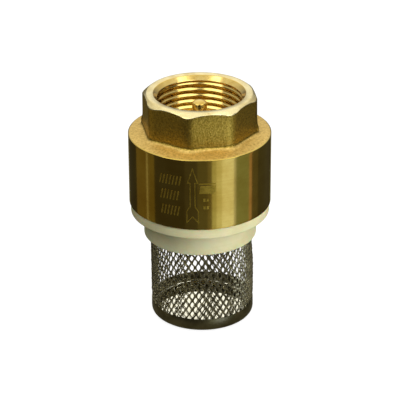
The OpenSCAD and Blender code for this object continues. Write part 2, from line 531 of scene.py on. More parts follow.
# The shoulder of the pressing: the same blasted skin, smoother, in a paler copy that paints on the light
# falling on these upward faces.
RUBBED_SKIN = Finish(
    "brass_shoulder_painted_light", "#e6c674", "#c0a050", 1.0, 0.50, 0.60, 0.7, (0.45, 0.45, 0.45), 0.10, 0.5,
    pit_depth_mm=0.04, pit_mm=1.1
)
# Brass bar turned into small parts.
TURNED_SMALL = Finish(
    "turned_brass_small", "#e0c272", "#c8a44c", 1.0, 0.12, 0.2, 5.0, (20.0, 20.0, 0.25), 0.01, 0.2
)
# Laser-etched brass: the beam leaves a paler, matt skin.
LASER_ETCH = Finish(
    "laser_etched_brass", "#ccb04a", "#a68c34", 1.0, 0.5, 0.65, 0.8, (0.2, 0.2, 0.2), 0.01, 0.4
)
# Injection-moulded natural nylon: creamy, waxy, slightly see-through.
MOULDED_NYLON = Finish(
    "moulded_nylon", "#e0dbb0", "#d4ce9c", 0.0, 0.30, 0.42, 7.0, (30.0, 30.0, 0.4), 0.015, 0.25,
    sheen_through=0.25
)
# Nitrile rubber, compression moulded: matt black with a powdery bloom.
NITRILE_RUBBER = Finish(
    "nitrile_rubber", "#323234", "#222224", 0.0, 0.55, 0.72, 3.0, (0.3, 0.3, 0.3), 0.01, 0.3
)
# Expanded stainless sheet, raw from the press: dull grey-olive with burnished strand edges.
EXPANDED_STEEL = Finish(
    "expanded_stainless", "#b8b292", "#69624a", 0.86, 0.20, 0.32, 2.5, (0.8, 0.8, 1.6), 0.012, 0.3
)
# Deep-drawn stainless cup: grey-olive, rubbed dull by the die.
DRAWN_STEEL = Finish(
    "drawn_stainless", "#8a8468", "#6a644a", 1.0, 0.30, 0.42, 4.0, (0.9, 0.9, 3.0), 0.02, 0.3
)
# Inside of the drawn cup: smooth mirror steel; its near-white colour is a painted reflection of the white
# surroundings seen through the screen.
PAINTED_BRIGHT_STEEL = Finish(
    "stainless_painted_reflection", "#fffbe4", "#f0eacc", 1.0, 0.03, 0.10, 2.5, (1.5, 1.5, 1.5), 0.02, 0.2
)
# Hard-drawn spring wire.
SPRING_WIRE = Finish(
    "spring_wire_stainless", "#a8a498", "#8a867a", 1.0, 0.18, 0.28, 2.0, (0.4, 0.4, 0.4), 0.005, 0.2
)


# ---- The brass body ----


@dataclass
class ValveBody:
    """The brass body: turned barrel, blasted octagonal end and tapped outlet. Millimetres."""

    barrel_z: float
    rim_z: float
    barrel_r: float
    barrel_h: float = 21.4
    half_flats: float = 15.5
    corner_r: float = 4.4
    rim_r: float = 14.95
    chamfer_slope: float = 0.8
    shoulder_edge_r: float = 20.0
    shoulder_inner_r: float = 16.6
    shoulder_rise: float = 0.8
    fillet_r: float = 1.15
    mouth_r: float = 13.15
    crest_r: float = 11.85
    socket_depth: float = 11.5
    pitch: float = 1.814
    thread_depth: float = 0.5
    taper: float = 1 / 32
    waterway_r: float = 10.6
    roof_drop: float = 4.7
    chamber_r: float = 17.0
    spigot_bore_r: float = 17.8
    spigot_bore_h: float = 6.5
    gasket_bore_r: float = 18.9
    gasket_bore_h: float = 1.8
    hub_r: float = 4.8
    boss_r: float = 3.5
    neck_r: float = 3.6
    guide_r: float = 2.175
    arm_w: float = 2.4
    arm_h: float = 3.4

    TURNED, BLASTED, FACED, TAPPED, RUBBED = range(5)

    @property
    def shoulder_z(self) -> float:
        """Height of the barrel's top edge."""
        return self.barrel_z + self.barrel_h

    def outline(self, angle: float, grow: float) -> float:
        """Distance from the axis to the octagon's outline.

        Args:
            angle: Direction in radians.
            grow: How far the outline is offset outwards.

        Returns:
            The distance in millimetres.
        """
        half_side = math.pi / 8
        off_corner = angle % (2 * half_side) - half_side
        centre = (self.half_flats - self.corner_r) / math.cos(half_side)
        corner = self.corner_r + grow
        arc_ends = math.atan2(corner * math.sin(half_side), centre + corner * math.cos(half_side))
        if abs(off_corner) < arc_ends:
            across = centre * math.sin(off_corner)
            return centre * math.cos(off_corner) + math.sqrt(corner**2 - across**2)
        return (self.half_flats + grow) / math.cos(half_side - abs(off_corner))

    def flash(self, angle: float, height: float) -> float:
        """Extra metal of the casting flash at the foot of two opposite corners.

        Args:
            angle: Direction in radians.
            height: Height in millimetres.

        Returns:
            How far the flash stands out.
        """
        out = 0.0
        for corner in (math.radians(157.5), math.radians(-22.5)):
            off = (angle - corner + math.pi) % FULL_TURN - math.pi
            rise = (height - self.shoulder_z - 2.3) / 1.1
            out += 0.5 * math.exp(-((off / math.radians(1.9)) ** 2) - rise**2)
            out += 0.12 * math.exp(-((off / math.radians(3.0)) ** 2))
        return out

    def shoulder_height(self, radius: float) -> float:
        """Height of the coned shoulder at a radius."""
        run = self.shoulder_edge_r - self.shoulder_inner_r
        return self.shoulder_z + self.shoulder_rise * min(1.0, (self.shoulder_edge_r - radius) / run)

    def wobble(self, angle: float) -> float:
        """Unevenness of the pressed fillet round the octagon's foot."""
        return 0.10 * math.sin(3 * angle + 0.7) + 0.07 * math.sin(11 * angle + 2.1)

    def shoulder_ring(self, share: float) -> RingShape:
        """Ring on the shoulder, part of the way from the barrel's edge to the octagon's fillet."""

        def shape(angle: float) -> Station:
            foot = self.outline(angle, self.fillet_r + self.wobble(angle))
            radius = self.shoulder_edge_r + (foot - self.shoulder_edge_r) * share
            return radius, self.shoulder_height(radius)

        return shape

    def fillet_ring(self, turn: float) -> RingShape:
        """Ring on the fillet between shoulder and octagon, at an angle of its quarter circle."""

        def shape(angle: float) -> Station:
            size = self.fillet_r + self.wobble(angle)
            grow = size * (1 - math.sin(turn))
            rise = size * (1 - math.cos(turn))
            radius = self.outline(angle, grow)
            height = self.shoulder_height(radius) + rise
            return radius + self.flash(angle, height), height

        return shape

    def wall_ring(self, share: float) -> RingShape:
        """Ring on the octagon's wall, part of the way from the fillet up to the chamfer."""

        def shape(angle: float) -> Station:
            low = self.shoulder_z + self.shoulder_rise + self.fillet_r + 0.25
            radius = self.outline(angle, 0.0)
            top = self.rim_z - self.chamfer_slope * (radius - self.rim_r) - 0.12
            height = low + (top - low) * share
            return radius + self.flash(angle, height) * (1 - share), height

        return shape

    def chamfer_ring(self, inset: float) -> RingShape:
        """Ring on the chamfer at a depth inside its lower edge, never past the rim's circle."""

        def shape(angle: float) -> Station:
            outer = self.outline(angle, 0.0)
            radius = outer - 0.04 - inset * (outer - 0.04 - self.rim_r)
            return radius, self.rim_z - self.chamfer_slope * (radius - self.rim_r) - 0.03

        return shape

    def thread_ring(self, height: float) -> RingShape:
        """Ring in the tapped socket: the thread's radius, cut by the countersink at the mouth."""

        def shape(angle: float) -> Station:
            depth_in = self.rim_z - height
            cone = self.mouth_r - depth_in
            crest = self.crest_r - depth_in * self.taper
            phase = ((height - self.rim_z) / self.pitch - angle / FULL_TURN + 0.15) % 1.0
            groove = 0.5 + 0.5 * math.cos(FULL_TURN * phase)
            fade = min(1.0, max(0.0, (self.socket_depth - depth_in) / 1.2), max(0.0, (depth_in - 1.15) / 0.9))
            return max(cone, crest + self.thread_depth * groove * fade), height

        return shape

    def ring_angles(self) -> list[float]:
        """Angles of the ring's vertices, close together at the octagon's corners."""
        steps = tuple(-22.5 + 1.5 * i for i in range(13)) + (-3.4, -2.6, -1.9, -1.25, -0.6)
        near = steps + (0.0,) + tuple(-s for s in steps[:0:-1])
        angles = [math.radians(22.5 + 45 * k + s) for k in range(8) for s in near]
        return sorted((a + math.pi) % FULL_TURN - math.pi for a in angles)

    def rings(self) -> list[Cut]:
        """All rings of the body's section, from the gasket bore round the outside and back.

        Returns:
            The rings in order.
        """
        low, top, edge = self.barrel_z, self.rim_z, 0.3
        out = cuts([(self.gasket_bore_r, low), (self.barrel_r - edge, low)], self.TURNED)
        barrel = rounded(
            [
                (self.barrel_r - edge, low),
                (self.barrel_r, low + edge * 0.6),
                (self.barrel_r, self.shoulder_z - edge * 0.6),
                (self.shoulder_edge_r, self.shoulder_z),
                (self.shoulder_edge_r - 0.8, self.shoulder_height(self.shoulder_edge_r - 0.8)),
            ],
            0.2,
            3,
        )
        wall = [(self.barrel_r, low + self.barrel_h * s) for s in (0.03, 0.06, 0.5, 0.94, 0.97)]
        out += cuts(barrel[1:5] + wall + barrel[5:-1], self.TURNED)
        # The shoulder and the fillet's lower half take a paler copy of the blasted skin: painted light on the
        # faces that look up.
        out += [Cut(self.shoulder_ring(s), self.RUBBED) for s in (0.2, 0.45, 0.7, 0.9, 1.0)]
        for turn in (12, 25, 38, 51, 64, 77, 90):
            finish = self.RUBBED if turn < 60 else self.BLASTED
            out.append(Cut(self.fillet_ring(math.radians(turn)), finish))
        out += [Cut(self.wall_ring(s), self.BLASTED) for s in (0.0, 0.08, 0.18, 0.32, 0.5, 0.75, 1.0)]
        # The chamfer and rim take the faced finish, whose pale colour is a painted highlight.
        out += [Cut(self.chamfer_ring(s), self.FACED) for s in (0.0, 0.25, 0.5, 0.75, 1.0)]
        out += cuts([(self.rim_r - 0.08, top), (14.5, top)], self.FACED)
        out += cuts([(self.mouth_r + 0.12, top), (self.mouth_r, top - 0.07)], self.FACED)
        countersink = [top - 0.1 * i for i in range(1, 13)]
        out += [Cut(self.thread_ring(z), self.TAPPED) for z in countersink]
        floor = top - self.socket_depth
        count = int((countersink[-1] - floor) / 0.1)
        out += [Cut(self.thread_ring(countersink[-1] - 0.1 * i), self.TAPPED) for i in range(1, count)]
        bottom_r = self.crest_r - self.socket_depth * self.taper
        roof = self.shoulder_z - self.roof_drop + 0.3
        inside = [
            (bottom_r, floor + 0.05),
            (self.waterway_r, floor),
            (self.waterway_r, roof),
            (self.chamber_r, roof),
            (self.chamber_r, low + self.spigot_bore_h),
            (self.spigot_bore_r, low + self.spigot_bore_h - 0.6),
            (self.spigot_bore_r, low + self.gasket_bore_h),
            (self.gasket_bore_r, low + self.gasket_bore_h),
            (self.gasket_bore_r, low),
        ]
        out += cuts(rounded(inside, 0.3, 3), self.TAPPED)
        return out

    def web(self) -> bpy.types.Object:
        """The cast web in the waterway: hub, boss, neck and three arms.

        Returns:
            The web, in millimetres.
        """
        roof = self.shoulder_z - self.roof_drop + 0.3
        floor = self.rim_z - self.socket_depth
        boss_z = roof - 1.75
        profile = [
            (self.guide_r, boss_z),
            (self.boss_r, boss_z),
            (self.boss_r, roof),
            (self.hub_r, roof),
            (self.hub_r, roof + 1.6),
            (self.neck_r, roof + 2.2),
            (self.neck_r, floor),
            (self.guide_r, floor),
            (self.guide_r, boss_z),
        ]
        parts = [turn_ring("web_hub", even_angles(48), cuts(rounded(profile, 0.3, 3)), True)]
        span = self.waterway_r + 0.3 - self.guide_r - 0.6
        for index in range(3):
            deselect_all()
            bpy.ops.mesh.primitive_cube_add(size=1, location=(0, 0, 0))
            arm = bpy.context.object
            arm.scale = (span, self.arm_w, self.arm_h)
            arm.location = (self.guide_r + 0.6 + span / 2, 0, roof + 0.4 + self.arm_h / 2)
            bpy.ops.object.transform_apply(location=True, rotation=True, scale=True)
            apply_modifier(arm, "BEVEL", width=0.5, segments=3)
            arm.rotation_euler = (0, 0, math.radians(90 + 120 * index))
            bpy.ops.object.transform_apply(location=True, rotation=True, scale=True)
            parts.append(arm)
        return join(parts, "guide_web")

    def build(self) -> bpy.types.Object:
        """Build the body, dress it and hand it to the frame.

        Returns:
            The finished piece.
        """
        shell = turn_ring("body_shell", self.ring_angles(), self.rings(), True)
        shade(shell, 34)
        web = self.web()
        shade(web, 40)
        web.data.materials.clear()
        for finish in (TURNED_BARREL, BLASTED_SKIN, FACED_RIM, TAPPED_THREAD, RUBBED_SKIN):
            shell.data.materials.append(finish.build())
        web.data.materials.append(shell.data.materials[self.BLASTED])
        piece = join([shell, web], "brass_body_detail")
        to_metres(piece)
        fit(piece, Body.FIXED, Slot.BRASS, "valve_body")
        return piece


# ---- Marks on the barrel ----


@dataclass
class BarrelMarks:
    """Generic laser marks: a flow arrow and plain hatched blocks. Millimetres on the unrolled barrel."""

    barrel_r: float
    barrel_z: float
    arrow_turn: float = -16.3
    line_w: float = 0.25
    skin: float = 0.02

    def arrow(self) -> list[Station]:
        """Outline of the flow arrow, half of it mirrored, from the tip."""
        half = [
            (1.58, 14.4),
            (0.80, 14.4),
            (0.80, 7.4),
            (1.75, 5.9),
            (1.75, 2.1),
        ]
        mirrored = [(-x, z) for x, z in reversed(half)]
        return [(0.0, 19.15)] + half + [(0.0, 4.0)] + mirrored

    def outline_piece(self, points: list[Station], turn: float) -> bpy.types.Object:
        """A closed line along an outline.

        Args:
            points: Corners across and above the barrel's foot.
            turn: Where its middle sits round the barrel, in degrees from -Y towards +X.

        Returns:
            The line as a flat ribbon that is wrapped on the barrel.
        """
        deselect_all()
        bpy.ops.mesh.primitive_circle_add(vertices=len(points), radius=1, fill_type="NGON")
        ribbon = bpy.context.object
        bpy.ops.object.mode_set(mode="EDIT")
        mesh = bmesh.from_edit_mesh(ribbon.data)
        for vert, (across, up) in zip(mesh.verts, points):
            vert.co = (across, 0, up)
        mesh.normal_update()
        bmesh.update_edit_mesh(ribbon.data)
        bpy.ops.mesh.select_all(action="SELECT")
        bpy.ops.mesh.inset(thickness=self.line_w, use_even_offset=True)
        mesh = bmesh.from_edit_mesh(ribbon.data)
        bpy.ops.mesh.select_all(action="DESELECT")
        for face in mesh.faces:
            face.select_set(len(face.verts) == len(points))
        bpy.ops.mesh.delete(type="FACE")
        bpy.ops.mesh.select_all(action="SELECT")
        bpy.ops.mesh.subdivide(number_cuts=3)
        bpy.ops.object.mode_set(mode="OBJECT")
        return self.wrap(ribbon, turn)

    def block(self, across: float, up: float, width: float, height: float, turn: float, slant: float = 0.0):
        """A filled block.

        Args:
            across: Left edge from the middle of the group.
            up: Lower edge above the barrel's foot.
            width: Width of the block.
            height: Height of the block.
            turn: Where the group sits round the barrel, in degrees.
            slant: How far the top is shifted to the right.

        Returns:
            The block wrapped on the barrel.
        """
        deselect_all()
        bpy.ops.mesh.primitive_plane_add(size=1, location=(0, 0, 0))
        plate = bpy.context.object
        bpy.ops.object.mode_set(mode="EDIT")
        mesh = bmesh.from_edit_mesh(plate.data)
        for vert in mesh.verts:
            high = vert.co.y + 0.5
            vert.co = (across + (vert.co.x + 0.5) * width + slant * high, 0, up + high * height)
        bpy.ops.mesh.subdivide(number_cuts=max(1, int(width)))
        bpy.ops.object.mode_set(mode="OBJECT")
        return self.wrap(plate, turn)

    def wrap(self, piece: bpy.types.Object, turn: float) -> bpy.types.Object:
        """Lay a flat piece in the XZ plane on the barrel.

        Args:
            piece: The flat piece.
            turn: Where its middle goes round the barrel, in degrees.

        Returns:
            The same piece, as a thin skin on the barrel.
        """
        radius = self.barrel_r + self.skin
        for vert in piece.data.vertices:
            angle = math.radians(turn) + vert.co.x / radius
            vert.co = (radius * math.sin(angle), -radius * math.cos(angle), self.barrel_z + vert.co.z)
        pick(piece)
        bpy.ops.object.mode_set(mode="EDIT")
        bpy.ops.mesh.select_all(action="SELECT")
        bpy.ops.mesh.remove_doubles(threshold=1e-4)
        bpy.ops.object.mode_set(mode="OBJECT")
        if piece.data.polygons[0].normal.dot(piece.data.vertices[0].co) < 0:
            piece.data.flip_normals()
        return piece

    def hatched(self, rows: list[tuple[float, float, int]]) -> list[bpy.types.Object]:
        """Bands of plain slanted hatching.

        Args:
            rows: Left edge, lower edge and number of strokes of each band.

        Returns:
            The strokes.
        """
        return [
            self.block(left + 0.98 * index, low, 0.38, 2.8, self.arrow_turn, 0.55)
            for left, low, count in rows
            for index in range(count)
        ]

    def build(self) -> bpy.types.Object:
        """Build the marks, dress them and hand them to the frame.

        Returns:
            The finished piece.
        """
        parts = [self.outline_piece(self.arrow(), self.arrow_turn)]
        parts += self.hatched([(-9.9, 13.5, 7), (-9.6, 8.9, 6), (-9.4, 4.2, 6)])
        parts.append(self.block(1.9, 11.3, 4.4, 2.4, self.arrow_turn, 0.3))
        parts.append(self.block(1.9, 14.1, 4.6, 0.35, self.arrow_turn))
        for low in (8.9, 6.6):
            parts += [self.block(3.0 + 0.9 * i, low, 0.6, 0.9, self.arrow_turn) for i in range(2)]
        piece = join(parts, "laser_marks")
        apply_modifier(piece, "SOLIDIFY", thickness=0.03, offset=-1.0)
        return dress(piece, 30, [LASER_ETCH], Body.FIXED, Slot.BRASS)


# ---- Nylon adaptor ----


@dataclass
class SeatAdaptor:
    """Moulded nylon adaptor: flange, spigot with raised seat, and the strainer's collar."""

    collar_z: float
    flange_z: float
    barrel_z: float
    collar_r: float = 16.2
    flange_r: float = 19.9
    port_r: float = 10.3
    lip_r: float = 14.7
    inner_r: float = 14.98
    groove_r: float = 15.35
    neck_r: float = 17.2
    spigot_r: float = 17.75
    spigot_h: float = 5.0
    recess_r: float = 15.2

    def build(self) -> bpy.types.Object:
        """Build the adaptor, dress it and hand it to the frame.

        Returns:
            The finished piece.
        """
        low, mid, top = self.collar_z, self.flange_z, self.barrel_z
        seat_z = top + 2.0
        profile = [
            (self.port_r, mid - 1.0),
            (self.inner_r, mid - 1.0),
            (self.inner_r, low + 4.4),
            (self.groove_r, low + 4.4),
            (self.groove_r, low + 3.4),
            (self.inner_r, low + 3.4),
            (self.inner_r, low + 2.0),
            (self.lip_r, low + 2.0),
            (self.lip_r, low),
            (self.collar_r, low),
            (self.collar_r, mid),
            (self.flange_r, mid),
            (self.flange_r, top),
            (self.neck_r, top),
            (self.neck_r, top + 1.8),
            (self.spigot_r, top + 2.2),
            (self.spigot_r, top + self.spigot_h - 0.4),
            (self.spigot_r - 0.4, top + self.spigot_h),
            (self.recess_r, top + self.spigot_h),
            (self.recess_r, seat_z - 1.3),
            (self.port_r + 1.7, seat_z - 1.3),
            (self.port_r + 1.2, seat_z),
            (self.port_r + 0.5, seat_z),
            (self.port_r, seat_z - 0.6),
            (self.port_r, mid - 1.0),
        ]
        piece = turn_ring("nylon_adaptor", even_angles(160), cuts(rounded(profile, 0.28, 4)), True)
        return dress(piece, 40, [MOULDED_NYLON], Body.FIXED, Slot.NYLON, "seat_adaptor")


# ---- Strainer ----


@dataclass
class Strainer:
    """Strainer basket: rolled expanded metal standing in a drawn cup. Millimetres and degrees.

    Attributes:
        foot_z: Lower edge of the rolled sheet.
        top_z: Upper edge of the rolled sheet.
        screen_r: Outside radius of the screen.
        cup_r: Outside radius of the cup.
        cup_h: Height of the cup.
        diamonds: Diamonds round the screen.
        long_way: Height of one diamond.
        strand_w: Width of a strand, as slit.
        strand_t: Thickness of the sheet.
        tilt: How far the strands are turned out of the sheet.
        phase_z: Where the first row of diamonds starts.
        cup_wall: Thickness of the cup's wall.
        cup_floor: Thickness of the cup's floor.
        cup_corner: Outside radius of the cup's lower corner.
        bulge: How far the screen stands out between cup and collar.
        bulge_rise: Height over which the bulge starts above the cup.
        bulge_end_z: Height at which the bulge has died away.
        bulge_fade: Height over which it dies away.
        lean: How far the basket's foot is pushed to one side.
        lean_end_z: Height above which the basket stands straight.
        lean_run: Height over which it leans.
        lean_turn: Direction of the lean round the axis.
        seam_turn: Where the sheet's overlap starts round the axis.
        seam_diamonds: Length of the overlap, in diamonds.
    """

    foot_z: float
    top_z: float
    screen_r: float
    cup_r: float
    cup_h: float
    diamonds: int = 46
    long_way: float = 3.06
    strand_w: float = 0.44
    strand_t: float = 0.20
    tilt: float = 33.0
    phase_z: float = 0.6
    cup_wall: float = 0.25
    cup_floor: float = 0.5
    cup_corner: float = 1.4
    bulge: float = 0.30
    bulge_rise: float = 2.2
    bulge_end_z: float = 25.0
    bulge_fade: float = 9.0
    lean: float = 0.55
    lean_end_z: float = 31.0
    lean_run: float = 16.0
    lean_turn: float = 79.5
    seam_turn: float = -6.7
    seam_diamonds: int = 5

    def strand(self) -> bpy.types.Object:
        """One strand over the length of one diamond: a flat strip that weaves from side to side.

        Returns:
            The strand, open at both ends, at the front of the screen.
        """
        tilt = math.radians(self.tilt)
        half_way = math.pi * self.screen_r / self.diamonds / 2
        sway = half_way - self.strand_w / 2 * math.cos(tilt)
        lean = self.strand_w / 2 * math.sin(tilt)
        middle_r = (
            self.screen_r - lean - self.strand_w / 2 * math.sin(tilt) - self.strand_t / 2 * math.cos(tilt)
        )
        weave = [(0.0, 1.0), (0.07, 0.98), (0.16, 0.66), (0.34, -0.66), (0.43, -0.98), (0.5, -1.0)]
        weave += [(t + 0.5, -s) for t, s in weave[1:]]
        deselect_all()
        bpy.ops.mesh.primitive_plane_add(size=1, location=(0, 0, 0))
        piece = named("strand")
        bpy.ops.object.mode_set(mode="EDIT")
        bpy.ops.transform.resize(value=(self.strand_w, self.strand_t, 1))
        mesh = bmesh.from_edit_mesh(piece.data)
        for vert in mesh.verts:
            along, across = vert.co.x, vert.co.y
            vert.co.x = along * math.cos(tilt) + across * math.sin(tilt) + sway
            vert.co.y = -along * math.sin(tilt) + across * math.cos(tilt) - middle_r + lean
        for (t0, s0), (t1, s1) in zip(weave, weave[1:]):
            step = ((s1 - s0) * sway, (s1 - s0) * lean, (t1 - t0) * self.long_way)
            bpy.ops.mesh.extrude_region_move(TRANSFORM_OT_translate={"value": step})
        mesh = bmesh.from_edit_mesh(piece.data)
        bpy.ops.mesh.select_all(action="DESELECT")
        for face in mesh.faces:
            face.select_set(abs(face.normal.z) > 0.9)
        bpy.ops.mesh.delete(type="FACE")
        bpy.ops.object.mode_set(mode="OBJECT")
        return piece

    def screen(self) -> bpy.types.Object:
        """The rolled screen: strands stacked up, paired and repeated round the axis.

        Returns:
            The screen, in millimetres.
        """
        first = self.strand()
        rows = int((self.top_z - self.foot_z) / self.long_way) + 3
        apply_modifier(
            first,
            "ARRAY",
            count=rows,
            use_relative_offset=False,
            use_constant_offset=True,
            constant_offset_displace=(0, 0, self.long_way),
            use_merge_vertices=True,
            merge_threshold=0.002,
        )
        pick(first)
        first.location = (0, 0, self.foot_z - self.long_way * 1.5 + self.phase_z)
        bpy.ops.object.transform_apply(location=True, rotation=True, scale=True)
        bpy.ops.object.duplicate()
        second = bpy.context.object
        second.location = (0, 0, -self.long_way / 2)
        second.rotation_euler = (0, 0, math.pi / self.diamonds)
        bpy.ops.object.transform_apply(location=True, rotation=True, scale=True)
        pair = join([first, second], "strand_pair")
        pick(pair)
        bpy.ops.object.duplicate()
        lap = bpy.context.object
        inside = (self.screen_r - 1.6 * self.strand_t - self.strand_w * 0.5) / self.screen_r
        lap.scale = (inside, inside, 1)
        lap.rotation_euler = (0, 0, math.radians(self.seam_turn))
        bpy.ops.object.transform_apply(location=True, rotation=True, scale=True)
        bpy.ops.object.empty_add(rotation=(0, 0, FULL_TURN / self.diamonds))
        turn = bpy.context.object
        for strands, count in ((pair, self.diamonds), (lap, self.seam_diamonds)):
            apply_modifier(
                strands,
                "ARRAY",
                count=count,
                use_relative_offset=False,
                use_object_offset=True,
                offset_object=turn,
            )
        bpy.data.objects.remove(turn)
        pair = join([pair, lap], "expanded_screen")
        bpy.ops.object.mode_set(mode="EDIT")
        for height, sign in ((self.foot_z, -1), (self.top_z, 1)):
            bpy.ops.mesh.select_all(action="SELECT")
            bpy.ops.mesh.bisect(
                plane_co=(0, 0, height), plane_no=(0, 0, sign), clear_outer=True, use_fill=True
            )
        bpy.ops.mesh.select_all(action="SELECT")
        bpy.ops.mesh.normals_make_consistent(inside=False)
        bpy.ops.object.mode_set(mode="OBJECT")
        return pair

    def settle(self, piece: bpy.types.Object, bulge: float) -> None:
        """Let a piece of the basket bulge between cup and collar and lean a little to one side.

        Args:
            piece: The piece, in millimetres.
            bulge: How far it bulges.
        """
        side = math.radians(self.lean_turn)
        for vert in piece.data.vertices:
            rise = min(1.0, max(0.0, (vert.co.z - self.cup_h) / self.bulge_rise))
            fade = min(1.0, max(0.0, (self.bulge_end_z - vert.co.z) / self.bulge_fade))
            swell = 1 + bulge * rise * fade / self.screen_r
            shift = self.lean * min(1.0, max(0.0, (self.lean_end_z - vert.co.z) / self.lean_run))
            vert.co.x = vert.co.x * swell + shift * math.sin(side)
            vert.co.y = vert.co.y * swell - shift * math.cos(side)

    def build_screen(self) -> bpy.types.Object:
        """Build the screen, dress it and hand it to the frame."""
        piece = self.screen()
        self.settle(piece, self.bulge)
        return dress(piece, 35, [EXPANDED_STEEL], Body.FIXED, Slot.STRAINER, "strainer_screen")

    def build_cup(self) -> bpy.types.Object:
        """Build the drawn cup, dress it and hand it to the frame."""
        outer, wall, floor, corner = self.cup_r, self.cup_wall, self.cup_floor, self.cup_corner
        arc = [math.radians(a) for a in range(0, 91, 15)]
        out = [(0.01, 0.0), (outer - corner - 1.0, 0.0)]
        out += [(outer - corner + corner * math.sin(a), corner * (1 - math.cos(a))) for a in arc]
        out += [(outer, self.cup_h - 0.1), (outer - 0.05, self.cup_h), (outer - wall + 0.05, self.cup_h)]
        out += [(outer - wall, self.cup_h - 0.1)]
        inner = corner - wall
        out += [
            (outer - corner + inner * math.sin(a), floor + inner * (1 - math.cos(a))) for a in reversed(arc)
        ]
        out += [(outer - corner - 1.0, floor), (0.01, floor)]
        skin = len(out) - len(arc) - 1
        # The inside of the cup takes the near-white steel, a painted reflection of the white surroundings.
        rings = cuts(out[:skin]) + cuts(out[skin:], 1)
        piece = turn_ring("drawn_cup", even_angles(160), rings, False)
        self.settle(piece, 0.0)
        return dress(piece, 40, [DRAWN_STEEL, PAINTED_BRIGHT_STEEL], Body.FIXED, Slot.STRAINER, "strainer_cup")


# ---- Moving parts ----


@dataclass
class Poppet:
    """The guided stem with its collar and domed tip."""

    stem_bottom_z: float
    tip_z: float
    stem_r: float = 2.125
    thread_r: float = 2.0
    collar_r: float = 3.0
    collar_z: float = 43.0
    collar_h: float = 1.2
    dome_h: float = 0.85

    def build_stem(self) -> bpy.types.Object:
        """Build the stem with its domed tip, dress it and hand it to the frame."""
        out = [(0.01, self.stem_bottom_z), (self.thread_r - 0.3, self.stem_bottom_z)]
        out += [(self.thread_r, self.stem_bottom_z + 0.3), (self.thread_r, self.collar_z)]
        out += [(self.collar_r, self.collar_z), (self.collar_r, self.collar_z + self.collar_h)]
        out += [(self.stem_r, self.collar_z + self.collar_h), (self.stem_r, self.tip_z - self.dome_h)]
        out = rounded(out, 0.12, 3)
        dome_r = (self.stem_r**2 + self.dome_h**2) / (2 * self.dome_h)
        reach = math.asin(self.stem_r / dome_r)
        for step in range(1, 9):
            a = reach * (1 - step / 8)
            out.append((max(0.01, dome_r * math.sin(a)), self.tip_z - dome_r * (1 - math.cos(a))))
        piece = turn_ring("domed_stem", even_angles(48), cuts(out), False)
        return dress(piece, 50, [TURNED_SMALL], Body.POPPET, Slot.TURNED, "valve_stem")


@dataclass
class ReturnSpring:
    """The coil spring between the valve's roof and the poppet, with a closed turn at each end."""

    low_z: float
    top_z: float
    outer_r: float
    travel: float
    wire_d: float = 0.7
    turns: int = 6
    sides: int = 12
    steps: int = 40

    def height(self, turn: float) -> float:
        """Height of the wire's middle after a number of turns, above the spring's foot."""
        closed = self.wire_d * 1.03
        open_turns = self.turns - 2
        run = self.top_z - self.low_z - self.wire_d - 2 * closed
        middle = max(0.0, min(turn - 1, open_turns)) * run / open_turns
        return self.wire_d / 2 + min(turn, 1.0) * closed + middle + max(0.0, turn - 1 - open_turns) * closed

    def build(self) -> bpy.types.Object:
        """Build the spring and dress it."""
        deselect_all()
        coil_r = self.outer_r - self.wire_d / 2
        bpy.ops.mesh.primitive_circle_add(
            vertices=self.sides, radius=self.wire_d / 2, rotation=(math.pi / 2, 0, 0), location=(coil_r, 0, 0)
        )
        bpy.ops.object.transform_apply(location=True, rotation=True, scale=True)
        piece = named("coil_spring")
        pitch = 2 * self.wire_d
        apply_modifier(
            piece,
            "SCREW",
            angle=FULL_TURN,
            screw_offset=pitch,
            iterations=self.turns,
            steps=self.steps,
            render_steps=self.steps,
        )
        for vert in piece.data.vertices:
            turned = math.atan2(vert.co.y, vert.co.x) / FULL_TURN
            turn = round(vert.co.z / pitch - turned) + turned
            turn = min(float(self.turns), max(0.0, turn))
            vert.co.z += self.low_z + self.height(turn) - pitch * turn
        pick(piece)
        bpy.ops.object.mode_set(mode="EDIT")
        bpy.ops.mesh.select_all(action="DESELECT")
        bpy.ops.mesh.select_non_manifold()
        bpy.ops.mesh.edge_face_add()
        bpy.ops.mesh.select_all(action="SELECT")
        bpy.ops.mesh.normals_make_consistent(inside=False)
        bpy.ops.object.mode_set(mode="OBJECT")
        dress(piece, 60, [SPRING_WIRE], Body.FIXED, Slot.SPRING, "return_spring")
        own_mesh(piece)
        return piece


def dress_cad_nodes(nodes: dict[str, bpy.types.Object]) -> None:
    """Give the CAD nodes that no new piece stands for their finishes.

    Args:
        nodes: The frame's node objects by name.
    """
    finishes = {
        "body_o_ring": NITRILE_RUBBER,
        "seal_disc": NITRILE_RUBBER,
        "backing_plate": TURNED_SMALL,
        "clamp_plate": TURNED_SMALL,
        "lock_nut": TURNED_SMALL,
        "lock_washer": SPRING_WIRE,
        "strainer_hoop": DRAWN_STEEL,
    }
    for name, finish in finishes.items():
        node = nodes[name]
        node.data.materials.clear()
        node.data.materials.append(finish.build())


# ---- Studio: floor, cards, lights and camera ----


